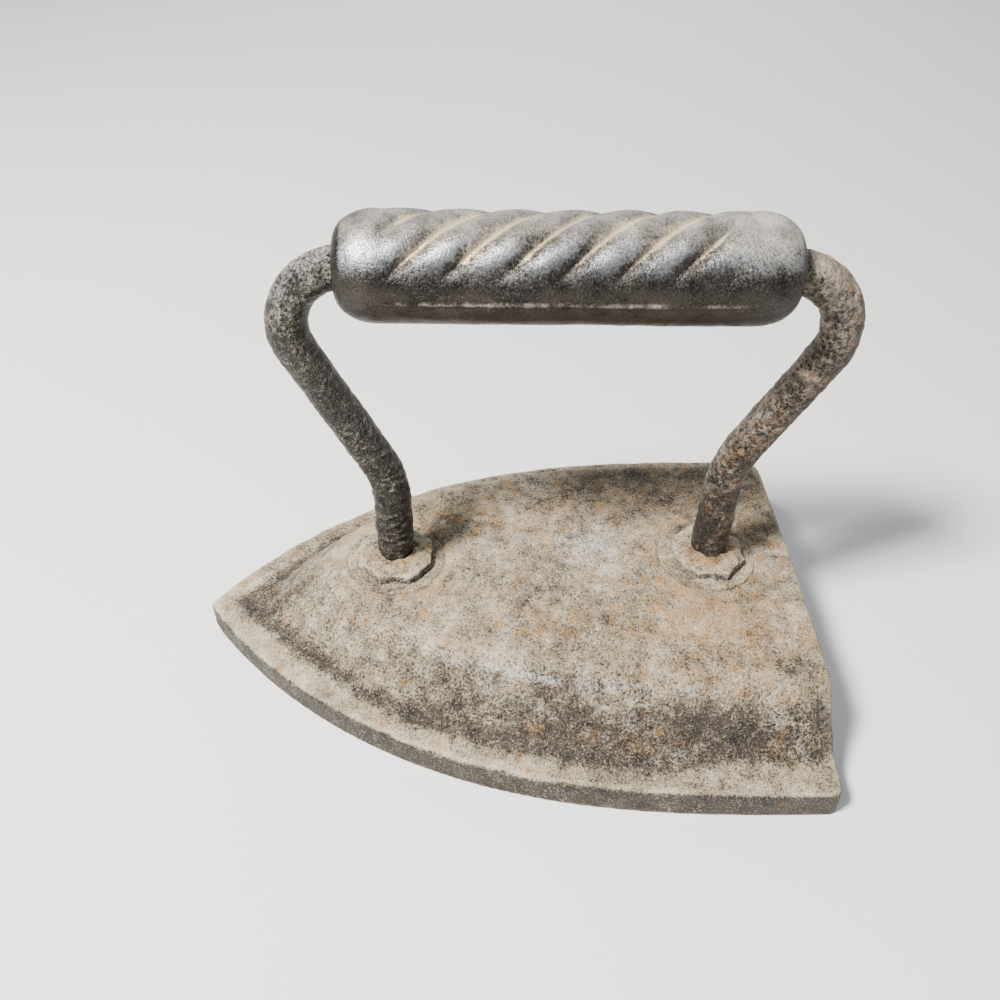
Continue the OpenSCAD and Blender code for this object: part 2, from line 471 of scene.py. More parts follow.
class Nodes:
    """One material's node tree, with its principled shader."""

    def __init__(self, name: str) -> None:
        """Makes the material and takes hold of its shader.

        Args:
            name: the material's name.
        """
        self.material = bpy.data.materials.new(name)
        self.material.use_nodes = True
        self.tree = self.material.node_tree
        self.shader = self.tree.nodes["Principled BSDF"]
        self.where = self.add("ShaderNodeTexCoord", {}, {}, "Object")

    def add(self, kind: str, settings: dict[str, Any], sockets: dict[Any, Any], output: Any = 0) -> Signal:
        """Adds a node.

        Args:
            kind: the node's type.
            settings: its own settings, set first.
            sockets: a value or a signal for each socket that is used.
            output: which of its outputs is wanted.

        Returns:
            The output as a signal.
        """
        node = self.tree.nodes.new(kind)
        for key, value in settings.items():
            setattr(node, key, value)
        for key, value in sockets.items():
            if isinstance(value, Signal):
                self.tree.links.new(value.socket, node.inputs[key])
            else:
                node.inputs[key].default_value = value
        return Signal(self, node.outputs[output])

    def maths(self, operation: str, one: Number, two: Number) -> Signal:
        """One sum of two values."""
        return self.add("ShaderNodeMath", {"operation": operation}, {0: one, 1: two})

    def shifted(self, *shift: float) -> Signal:
        """The place on the object, moved by a shift in metres."""
        return self.add("ShaderNodeVectorMath", {"operation": "ADD"}, {0: self.where, 1: shift})

    def noise(self, size: float, seed: float, detail: float = 2.0, rough: float = 0.5) -> Signal:
        """Noise about 0.

        Args:
            size: size of one lump in millimetres.
            seed: shift of the pattern.
            detail: how many finer layers it has.
            rough: how strong the finer layers are.

        Returns:
            A value mostly from -1 to 1.
        """
        spot = self.shifted(seed * 0.37, seed * 0.53, seed * 0.71)
        sockets = {"Vector": spot, "Scale": 1 / (size * MM), "Detail": detail, "Roughness": rough}
        return (self.add("ShaderNodeTexNoise", {}, sockets) - 0.5) * NOISE_GAIN

    def cells(self, size: float, seed: float) -> tuple[Signal, Signal]:
        """Many scattered spots.

        Args:
            size: how far apart they are in millimetres.
            seed: shift of the pattern.

        Returns:
            Distance from the nearest spot, and a random number for each spot.
        """
        spot = self.shifted(seed * 0.29, seed * 0.47, seed * 0.61)
        sockets = {"Vector": spot, "Scale": 1 / (size * MM)}
        near = self.add("ShaderNodeTexVoronoi", {}, sockets, "Distance")
        colour = Signal(self, near.socket.node.outputs["Color"])
        return near, self.add("ShaderNodeSeparateColor", {}, {0: colour}, 0)

    def level(self, zone: Zone) -> Signal:
        """The number that the mesh carries for a zone."""
        return self.add("ShaderNodeAttribute", {"attribute_name": zone.value}, {}, "Fac")

    def blend(self, share: Number, one: Tint, two: Tint) -> Signal:
        """A colour between two others."""
        pair = [c if isinstance(c, Signal) else (*c, 1.0) for c in (one, two)]
        return self.add("ShaderNodeMix", {"data_type": "RGBA"}, {0: share, 6: pair[0], 7: pair[1]}, 2)

    def bump(self, height: Signal, depth: float) -> Signal:
        """Normal of a surface with a height in millimetres times depth."""
        return self.add("ShaderNodeBump", {}, {"Height": height, "Distance": depth * MM, "Strength": 1.0})

    def wire(self, **sockets: Any) -> bpy.types.Material:
        """Sets or links the shader's sockets.

        Args:
            sockets: a value or a signal for each socket, named with _ for a space.

        Returns:
            The finished material.
        """
        for key, value in sockets.items():
            target = self.shader.inputs[key.replace("_", " ")]
            if isinstance(value, Signal):
                self.tree.links.new(value.socket, target)
            else:
                target.default_value = value
        return self.material


@dataclass(frozen=True)
class Patina:
    """Old iron under dust, rust and scale, all of it placed by the mesh's own levels.

    dark and brown are the bare skin, pale and cream the dust on it, ochre the rust and the polish colour the
    polished metal. Where the dust level carries painted light, pale and cream also paint lit faces and dark
    and brown shaded ones, and where the wear level carries painted highlights and sheen, the polish colour
    paints them. patch and speck are sizes in millimetres, rough holds the roughness of bare, polished and
    dusty skin, and depth is the height of the bump in millimetres.
    """

    name: str
    dark: Colour
    brown: Colour
    pale: Colour
    cream: Colour
    ochre: Colour
    worn: Colour
    patch: float
    speck: float
    blotch: float
    contrast: float
    pepper: float
    salt: float
    rough: tuple[float, float, float]
    metal: float
    depth: float
    shine: float

    def make(self) -> bpy.types.Material:
        """Builds the material.

        Returns:
            A material that reads Object coordinates and the four levels.
        """
        n = Nodes(self.name)
        # The dust level also carries painted light and shade, and the wear level painted highlights and
        # sheen.
        dust, rust = n.level(Zone.DUST_AND_LIGHT), n.level(Zone.RUST)
        worn, relief = n.level(Zone.WEAR_AND_SHEEN), n.level(Zone.RELIEF)
        large = n.noise(self.patch * 3.1, 1.3)
        mid = n.noise(self.patch, 2.9, 5.0, 0.62)
        fine = n.noise(self.speck, 4.7, 3.0, 0.6)
        dots = n.noise(self.speck * 0.45, 5.3, rough=0.6)
        blots = (large * 0.3 + mid * 0.4) * self.blotch
        speckle = fine * self.contrast + dots * self.contrast
        # How far the skin turns pale and cream: dust, and also painted light where the dust level carries it.
        dust_and_light_cover = (dust + relief * 0.8 + blots + speckle).step(0.0, 1.0)
        tint = n.noise(self.patch * 1.4, 8.1, 4.0, 0.6)
        low = n.blend((tint * 0.5 + fine * 0.5 + 0.42).capped(), self.dark, self.brown)
        hue = tint * 0.6 + large * 0.3 + dots * 0.45 + fine * 0.35 + 0.46
        high = n.blend(hue.capped(), self.pale, self.cream)
        skin = n.blend(dust_and_light_cover, low, high)
        spots, chance = n.cells(self.patch * 1.25, 3.7)
        spot = (0.42 - spots + fine * 0.06).step(0.0, 0.26) * (chance + fine * 0.3).step(0.5, 0.8)
        cloud = n.noise(self.patch * 1.1, 11.9, 4.0, 0.65)
        stain = (rust + cloud * 0.46 + large * 0.2 + fine * 0.3 + spot * (rust * 1.1)).step(0.30, 1.0)
        skin = n.blend(stain * (dust_and_light_cover * 0.3 + 0.45), skin, self.ochre)
        pepper = (dots * 0.9 + fine * 0.6).step(-0.05, 0.6) * (self.pepper - worn * 0.3)
        skin = n.blend(pepper.capped(), skin, self.dark)
        salt = (n.noise(self.speck * 0.6, 6.1, rough=0.6) + mid * 0.25).step(0.08, 0.6)
        skin = n.blend(salt * (dust_and_light_cover * 0.6 + 0.4) * self.salt, skin, self.cream)
        # Gleam paints highlights and sheen in the polish colour where the wear level carries them, and also
        # lowers the roughness.
        gleam = (worn + (large * 0.4 + mid * 0.6 + fine) * self.contrast).step(0.12, 1.05)
        skin = n.blend(gleam * 0.85, skin, self.worn)
        scaly, polished, dusty = self.rough
        rough = (dust_and_light_cover * (dusty - scaly) + scaly + fine * 0.06) * (1.0 - gleam) + gleam * polished
        height = mid * 0.6 + fine * 0.8 + dots * 0.5 + dust_and_light_cover * 0.3 - pepper * 0.8 + stain * 0.3 + salt * 0.4
        return n.wire(
            Base_Color=skin,
            Roughness=rough.capped(),
            Metallic=(self.metal * (1.0 - dust_and_light_cover * 0.5)).capped(),
            Specular_IOR_Level=self.shine,
            Normal=n.bump(height * (1.0 - gleam * 0.5), self.depth),
        )


BODY_CRUST = Patina(
    name="body_crust", patch=4.0, speck=0.75, blotch=0.62, contrast=0.50,
    dark=(0.016, 0.013, 0.011), brown=(0.078, 0.063, 0.049),
    pale=(0.26, 0.21, 0.14), cream=(0.83, 0.70, 0.50),
    ochre=(0.44, 0.225, 0.062), worn=(0.44, 0.49, 0.54),
    pepper=0.70, salt=0.66, rough=(0.58, 0.36, 0.80),
    metal=0.15, depth=0.30, shine=0.25,
)
ROD_SCALE = Patina(
    name="rod_scale", patch=2.4, speck=0.8, blotch=0.55, contrast=0.38,
    dark=(0.005, 0.0045, 0.004), brown=(0.036, 0.031, 0.026),
    pale=(0.175, 0.152, 0.124), cream=(0.55, 0.48, 0.375),
    ochre=(0.36, 0.185, 0.075), worn=(0.37, 0.40, 0.43),
    pepper=0.42, salt=0.28, rough=(0.42, 0.34, 0.68),
    metal=0.35, depth=0.72, shine=0.4,
)
NUT_RUST = Patina(
    name="nut_rust", patch=2.8, speck=0.65, blotch=0.6, contrast=0.46,
    dark=(0.014, 0.011, 0.009), brown=(0.11, 0.086, 0.064),
    pale=(0.28, 0.22, 0.145), cream=(0.82, 0.69, 0.48),
    ochre=(0.46, 0.235, 0.062), worn=(0.54, 0.58, 0.61),
    pepper=0.55, salt=0.60, rough=(0.62, 0.42, 0.80),
    metal=0.15, depth=0.30, shine=0.25,
)
# The grip's pale, cream and polish colours also paint light over its top, shade underneath and highlights
# along its flanks.
GRIP_POLISH_AND_SHEEN = Patina(
    name="grip_polish_and_sheen", patch=3.4, speck=0.6, blotch=0.5, contrast=0.20,
    dark=(0.010, 0.0085, 0.0075), brown=(0.060, 0.051, 0.045),
    pale=(0.27, 0.245, 0.22), cream=(0.60, 0.55, 0.48),
    ochre=(0.80, 0.63, 0.39), worn=(0.47, 0.50, 0.535),
    pepper=0.40, salt=0.16, rough=(0.38, 0.30, 0.46),
    metal=0.8, depth=0.08, shine=0.4,
)


@dataclass(frozen=True)
class BakedClay:
    """The brown baked core inside the grip."""

    name: str = "core_clay"
    deep: Colour = (0.13, 0.062, 0.034)
    light: Colour = (0.36, 0.20, 0.12)

    def make(self) -> bpy.types.Material:
        """Builds the material.

        Returns:
            A dull, gritty clay.
        """
        n = Nodes(self.name)
        broad, grit = n.noise(6.0, 2.2, 4.0, 0.6), n.noise(0.6, 7.7, 3.0, 0.6)
        skin = n.blend((broad * 0.4 + grit * 0.4 + 0.5).capped(), self.deep, self.light)
        rough = (0.85 + grit * 0.08).capped()
        return n.wire(Base_Color=skin, Roughness=rough, Normal=n.bump(grit + broad, 0.15))


# --- Pieces --------------------------------------------------------------------------------


class IronPiece(ABC):
    """A piece that is built clean, roughened and weathered, and stands for one CAD node."""

    node: ClassVar[str]
    slot: ClassVar[Slot]
    finish: ClassVar[Patina]

    @abstractmethod
    def build(self) -> Bench:
        """Models the clean shape."""

    @abstractmethod
    def roughen(self, bench: Bench) -> None:
        """Gives the skin its lumps and wear."""

    @abstractmethod
    def weather(self, bench: Bench) -> None:
        """Writes where dust, rust and wear lie, and where light, shade and highlights are painted."""

    def make(self) -> None:
        """Builds, roughens, weathers and delivers the piece."""
        bench = self.build()
        self.roughen(bench)
        self.weather(bench)
        bench.deliver(self.slot, self.finish.make(), self.node)


@dataclass(frozen=True)
class Patch:
    """A soft oval seen from above, its middle and reach in millimetres."""

    amount: float
    x: float
    y: float
    length: float
    width: float

    def over(self, x: Rows, y: Rows) -> Rows:
        """How strong it is at each place."""
        return self.amount * around(x, self.x, self.length) * around(y, self.y, self.width)


@dataclass
class CastBody(IronPiece):
    """The solid cast body: sole, upright band, ledge, cove, shoulder and low dome. Sizes in millimetres."""

    node, slot, finish = "iron_body", Slot.BODY, BODY_CRUST

    band_height: float = 9.5
    side_fullness: float = 3.0
    toe_power: float = 0.91
    edge_round: float = 1.1
    sole_round: float = 0.7
    ledge_width: float = 6.5
    ledge_rise: float = 0.4
    shoulder_inset: float = 25.0
    dome_rise: float = 3.0
    toe_setback: float = 1.7
    crown_power: float = 0.52
    heel_lean: float = 2.0
    heel_round: float = 2.6
    corner_round: float = 3.2
    leg_hole: float = 10.6
    socket_depth: float = 14.0
    washer_room: float = -0.1
    side_steps: int = 60
    corner_steps: int = 6
    corner_loss: float = 0.55
    corner_share: float = 0.6
    heel_blend: float = 6.0
    heel_drop: float = 0.8
    round_steps: int = 4
    cove_steps: int = 22
    dome_steps: int = 12
    sole_skin: float = 0.05
    ridge: float = 1.0
    voxel: float = 0.72
    pale_patch: Patch = Patch(0.16, 46, -4, 18, 18)
    rust_patches: tuple[Patch, ...] = (Patch(0.30, -60, 26, 22, 20), Patch(0.20, -20, 22, 26, 12))
    worn_patch: Patch = Patch(0.44, -25, -4, 9, 10)

    def __post_init__(self) -> None:
        """Takes the overall sizes from the CAD node's box."""
        low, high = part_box(self.node)
        self.toe_x, self.heel_x = high[0] / MM, low[0] / MM
        self.half_width, self.height = high[1] / MM, high[2] / MM

    def crown_z(self, inset: Rows) -> Rows:
        """Height of the crown.

        Args:
            inset: distance in from the sole's edge.

        Returns:
            Heights above the sole.
        """
        floor = self.band_height + self.ledge_rise
        rise = fade(inset, self.ledge_width, self.shoulder_inset)
        run = (inset - self.ledge_width) / (self.half_width - self.ledge_width)
        return floor + (self.height - self.dome_rise - floor) * rise + self.dome_rise * (1 - (1 - run) ** 2)

    def levels(self) -> list[tuple[float, float]]:
        """Works out every contour of the casting.

        Returns:
            Inset and height of each, from the sole's edge to the middle.
        """
        turn = [math.radians(90 * k / self.round_steps) for k in range(self.round_steps + 1)]
        rows = [(self.sole_round * (1 - math.sin(a)), self.sole_round * (1 - math.cos(a))) for a in turn]
        rows += [
            (self.edge_round * (1 - math.cos(a)), self.band_height - self.edge_round * (1 - math.sin(a)))
            for a in turn
        ]
        cove = np.linspace(self.ledge_width, self.shoulder_inset, self.cove_steps)
        dome = np.linspace(self.shoulder_inset, self.half_width - self.ridge, self.dome_steps)[1:]
        return rows + [(float(d), float(self.crown_z(d))) for d in (*cove, *dome)]

    def ring(self, inset: float, height: float) -> Rows:
        """One contour from the heel round the toe and back.

        Args:
            inset: distance in from the sole's edge.
            height: height of the contour.

        Returns:
            A row of x, y and z for each column.
        """
        back = self.heel_x + self.heel_lean * height / self.height
        reach = self.toe_x - self.toe_setback * inset - back
        power = self.toe_power + (self.crown_power - self.toe_power) * min(1.0, inset / self.shoulder_inset)
        wide = self.half_width - inset
        curve = self.corner_round * (1 - self.corner_loss * min(1.0, inset / self.ledge_width))
        curve = min(curve, wide * self.corner_share)
        turn = np.radians(np.linspace(90, 0, self.corner_steps, endpoint=False))
        start = curve / reach
        u = start + (1 - start) * np.sin(np.radians(np.linspace(0, 90, self.side_steps)))
        side_y = wide * (1 - np.clip(u, 0, 1) ** self.side_fullness) ** power
        x = np.concatenate([back + curve * (1 - np.sin(turn)), back + reach * u])
        y = np.concatenate([side_y[0] - curve * (1 - np.cos(turn)), side_y])
        crown = min(1.0, max(0.0, (inset - self.ledge_width) / self.heel_blend))
        near = np.clip(1 - (x - back) / self.heel_round, 0, 1)
        z = height - crown * self.heel_round * self.heel_drop * (1 - np.sqrt(1 - near**2))
        half = np.stack([x, y, z], axis=1)
        other = half[-2::-1] * np.array([1, -1, 1])
        return np.concatenate([half, other])

    def build(self) -> Bench:
        """Models the casting with its two sockets.

        Returns:
            The bench that holds it.
        """
        bench = Bench("cast_body")
        rings = [self.ring(inset, height) for inset, height in self.levels()]
        columns = len(rings[0])
        bench.loop(columns)
        for _ in rings[1:]:
            bench.pull(0, 1 / MM)
        bench.rest()
        level = np.round(bench.places()[:, 2] * MM).astype(int)
        bench.place(np.array(rings)[level, bench.order(columns)])
        bpy.ops.object.mode_set(mode="EDIT")
        bench.close(cap=True)
        for washer in ("front_washer", "rear_washer"):
            x, seat = centre_x(washer), foot_z(washer)
            bench.bore(x, seat, self.height + OVERSHOOT, 2 * (reach_of(washer) + self.washer_room))
            bench.bore(x, seat - self.socket_depth, seat + OVERSHOOT, self.leg_hole)
        bench.even(self.voxel, 3)
        return bench

    def roughen(self, bench: Bench) -> None:
        """Gives the skin its cast waves, crust, pits and chipped edges, and a rust bed round each nut.

        Args:
            bench: holds the clean casting.
        """
        points, normals = bench.places(), bench.facings()
        upper = fade(points[:, 2], 8.6, 10.2)
        shell = fade(points[:, 2], 0.4, 1.6)
        cove = fade(points[:, 2], 9.5, 13) * fade(points[:, 2], 26, 21)
        bench.group("upper", upper * fade(normals[:, 2], -0.2, 0.3))
        bench.group("shell", shell)
        bench.group("cove", cove)
        bench.lump(30, 0.9, group="upper")
        bench.lump(7, 0.55, group="shell")
        bench.lump(2.6, 0.42, group="upper")
        bench.lump(3.6, 0.5, group="cove", middle=0.55)
        bench.shift(self.bed)
        bench.keep_inside(*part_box(self.node))
        bench.place(np.where(points[:, 2:3] < self.sole_skin, points * [1, 1, 0], bench.places()))

    def bed(self, at: Rows, up: Rows) -> Rows:
        """Crust heaped round each nut, and nicks along the band's upper edge.

        Args:
            at: every vertex.
            up: every vertex's normal.

        Returns:
            How far each vertex moves outwards.
        """
        heap = np.zeros(len(at))
        for nut, seed in (("front_nut", 3.1), ("rear_nut", 9.4)):
            bearing = np.arctan2(at[:, 1], centre_x(nut) - at[:, 0])
            side = 0.6 + 0.4 * np.cos(bearing - 0.9)
            heap += around(away_from(nut, at), 15.2, 2.4) * side * (0.5 + 0.9 * grain(at, 3.2, seed))
        heap *= fade(at[:, 2], 20, 24)
        edge = around(at[:, 2], self.band_height, 1.2) * fade(up[:, 2], 1.2, 0.4) * fade(up[:, 2], -0.3, 0.2)
        nick = edge * np.clip(grain(at, (9, 9, 30), 5.5, 2) - 0.12, 0, 1)
        return 0.7 * heap - 0.9 * nick

    def weather(self, bench: Bench) -> None:
        """Writes where dust, rust and wear lie, with painted shade on the far side and a painted highlight
        along the shoulder.

        Args:
            bench: holds the roughened casting.
        """
        points, normals = bench.places(), bench.facings()
        x, y, z = points.T
        up = normals[:, 2]
        top = fade(z, 17.5, 26.5)
        reach = np.clip((x - self.heel_x) / (self.toe_x - self.heel_x), 0, 1)
        gap = self.half_width * (1 - reach**self.side_fullness) ** self.toe_power - np.abs(y)
        rear = fade(x, -35, -60)
        ledge_gap = gap - 3.5 * rear - 4 * fade(x, 25, 60)
        ledge = fade(z, 12.2, 10.1) * fade(up, 0.3, 0.85) * fade(ledge_gap, 8.0, 3.5)
        band = fade(z, 9.6, 8.4) * fade(up, 0.7, 0.2)
        nose = fade(x, 50, 66) * fade(z, 11, 13)
        # The far side is painted in shade: the top there gets less dust, and the ledge's dust is halved
        # towards the far side.
        far = fade(y, 0, -40)
        toeward = fade(x, -20, 50)
        dust = 0.10 + 0.46 * top + 0.48 * ledge * (1 - 0.5 * fade(y, 0, -14)) - 0.32 * band
        dust += 0.34 * toeward * fade(z, 11, 14) * fade(z, 24, 18) + 0.14 * toeward * ledge
        dust += self.pale_patch.over(x, y) * top
        dust -= 0.26 * nose * around(y, 0, 12) + 0.16 * far * top + 0.10 * around(y, 44, 9) * fade(z, 20, 26)
        dust -= 0.06 * around(z, 14.5, 3.0) * fade(x, 30, 0)
        rust = 0.18 + 0.20 * top + 0.14 * ledge
        for patch in self.rust_patches:
            rust += patch.over(x, y) * top
        rust += 0.12 * around(y, -18, 14) * top + 0.12 * fade(z, 11, 12) * fade(z, 20, 15)
        seat = np.ones(len(points))
        for nut in ("front_nut", "rear_nut"):
            away = away_from(nut, points)
            rust += 0.2 * around(away, 14.5, 4.0) * fade(z, 20, 24) * (0.6 + grain(points, 7, centre_x(nut)))
            seat *= 1 - around(away, reach_of("front_washer"), 1.2)
        # Along the convex shoulder, a bluish band in the polish colour: painted highlight.
        shoulder = around(z, 24.6, 1.5) * fade(np.abs(y), 14, 26)
        worn = 0.05 * top + 0.46 * shoulder * around(x, -8, 34)
        worn += self.worn_patch.over(x, y) * top + 0.22 * around(z, 9.6, 0.9) * fade(up, 0.95, 0.6)
        sole = fade(up, -0.4, -0.9)
        dust += 0.38 * sole
        rust += 0.14 * sole
        worn += 0.26 * sole
        bench.mark(dust, rust, worn, np.clip(bench.relief(5) * 1.8, -0.4, 0.4) * seat)


@dataclass
class BentRod(IronPiece):
    """The round wrought rod: two legs with upset heads, knees and bends. Sizes in millimetres."""

    node, slot, finish = "handle_rod", Slot.ROD, ROD_SCALE

    rod_d: float = 10.0
    head_d: float = 14.0
    head_height: float = 4.0
    knee_bend: float = 32.0
    front_knee_z: float = 57.5
    rear_knee_z: float = 62.5
    front_bend: float = 15.0
    rear_bend: float = 16.0
    end_overhang: float = 3.0
    sides: int = 40
    knee_steps: int = 8
    bend_steps: int = 24
    voxel: float = 0.5

    def __post_init__(self) -> None:
        """Takes the legs, the grip and the feet from the CAD nodes' boxes."""
        low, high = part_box("grip")
        self.grip_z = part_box(self.node)[1][2] / MM - self.rod_d / 2
        self.front_turn_x = high[0] / MM - self.end_overhang
        self.rear_turn_x = low[0] / MM + self.end_overhang
        self.front_x, self.rear_x = centre_x("front_nut"), centre_x("rear_nut")
        self.front_foot = foot_z(self.node)
        self.rear_foot = self.front_foot + foot_z("rear_nut") - foot_z("front_nut")

    def leg(self, foot_x: float, knee_z: float, turn_x: float, bend: float) -> tuple[float, ...]:
        """Works out a leg that leans to +X.

        Args:
            foot_x: where it stands.
            knee_z: height of its knee's corner.
            turn_x: middle of its upper bend.
            bend: radius of its upper bend.

        Returns:
            Its lean in degrees, the height where its knee starts, and how far the straight part above the
            knee runs along X and along Z.
        """
        across, rise = turn_x - foot_x, self.grip_z - bend - knee_z
        lean = math.atan2(across, rise) + math.asin(bend / math.hypot(across, rise))
        start = knee_z - self.knee_bend * math.tan(lean / 2)
        curve = self.knee_bend + bend
        run_x = across - self.knee_bend + curve * math.cos(lean)
        run_z = self.grip_z - bend - start - curve * math.sin(lean)
        return math.degrees(lean), start, run_x, run_z

    def build(self) -> Bench:
        """Sweeps the rod from its front foot to its rear foot.

        Returns:
            The bench that holds it.
        """
        bench = Bench("bent_rod")
        ends = (self.front_x, self.front_knee_z, self.front_turn_x, self.front_bend)
        lean, start, run_x, run_z = self.leg(*ends)
        bench.primitive(
            bpy.ops.mesh.primitive_circle_add,
            vertices=self.sides,
            radius=self.head_d / 2 * MM,
            location=(self.front_x * MM, 0, self.front_foot * MM),
            fill_type="NOTHING",
        )
        bench.pull(0, self.head_height)
        neck = self.front_foot + self.head_height
        bench.swell((self.front_x, 0, neck), self.rod_d / self.head_d)
        bench.pull(0, start - neck)
        bench.sweep((self.front_x + self.knee_bend, 0, start), ACROSS, lean, self.knee_steps)
        bench.pull(run_x, run_z)
        middle = (self.front_turn_x, 0, self.grip_z - self.front_bend)
        bench.sweep(middle, ACROSS, -(90 + lean), self.bend_steps)
        bench.pull(self.rear_turn_x - self.front_turn_x, 0)
        ends = (-self.rear_x, self.rear_knee_z, -self.rear_turn_x, self.rear_bend)
        lean, start, run_x, run_z = self.leg(*ends)
        middle = (self.rear_turn_x, 0, self.grip_z - self.rear_bend)
        bench.sweep(middle, ACROSS, -(90 + lean), self.bend_steps)
        bench.pull(run_x, -run_z)
        bench.sweep((self.rear_x - self.knee_bend, 0, start), ACROSS, lean, self.knee_steps)
        neck = self.rear_foot + self.head_height
        bench.pull(0, neck - start)
        bench.swell((self.rear_x, 0, neck), self.head_d / self.rod_d)
        bench.pull(0, -self.head_height)
        bench.close(cap=True)
        bench.even(self.voxel, 2)
        return bench

    def roughen(self, bench: Bench) -> None:
        """Hammers, wrinkles and rusts the rod's skin.

        Args:
            bench: holds the clean rod.
        """
        x, _, z = bench.places().T
        shown = fade(z, 28, 31)
        bench.group("shown", shown)
        bench.group("rear", fade(x, -40, -52) * shown * (0.35 + 0.65 * fade(z, 36, 50)))
        bench.lump(14, 0.5, group="shown")
        bench.lump(3.4, 0.34, group="shown")
        bench.lump(1.7, 0.22, group="shown")
        bench.lump(2.6, 0.62, group="rear", middle=0.55)
        front = fade(x, 10, 30) * fade(z, 92, 66)
        bench.shift(lambda at, _: shown * (front * self.wrinkles(at) - 0.06))
        bench.keep_inside(*CAD_BOX)

    @staticmethod
    def wrinkles(at: Rows) -> Rows:
        """Folds and flakes across the front leg, deepest near its foot.

        Args:
            at: every vertex.

        Returns:
            Millimetres outwards.
        """
        folds = grain(at, (2.3, 2.3, 1.3), 2.2, 2)
        pits = np.clip(grain(at, (2.4, 2.4, 1.5), 7.7) - 0.16, 0, 1)
        return (0.36 * folds - 0.9 * pits) * (0.4 + 0.6 * fade(at[:, 2], 70, 42))

    def weather(self, bench: Bench) -> None:
        """Writes where dust, rust and wear lie, with painted light and a painted highlight on the rear leg's
        lamp side and a painted sheen on the front bend.

        Args:
            bench: holds the roughened rod.
        """
        normals = bench.facings()
        x, _, z = bench.places().T
        rear = fade(x, -40, -52)
        bend = fade(z, 96, 108)
        up = fade(normals[:, 2], 0.0, 0.9)
        outer = fade(normals[:, 0], 0.3, -0.8)
        upper = 0.4 + 0.6 * up
        dust = -0.16 + 0.52 * bend * (0.3 + 0.7 * up) + rear * (0.16 + 0.36 * fade(z, 42, 76)) * upper
        dust += 0.06 * around(z, 70, 16) * (1 - rear)
        # Paler on the rear leg's side that faces the lamp: painted light.
        dust += 0.10 * rear * fade(normals[:, 0], 0.1, 0.8) * fade(z, 40, 58)
        rust = 0.10 + rear * (0.18 + 0.18 * outer) + 0.06 * bend + 0.20 * fade(z, 36, 31)
        rust += 0.20 * rear * around(z, 74, 20)
        # The front bend's upper side: painted sheen, partly real polish.
        worn = 0.44 * (1 - rear) * bend * upper
        # The rear leg's lamp-facing side: painted highlight.
        worn += 0.2 * rear * around(z, 66, 14) * fade(normals[:, 0], 0.2, 0.9)
        bench.mark(dust, rust, worn, np.clip(bench.relief(4) * 3.6, -0.5, 0.5))


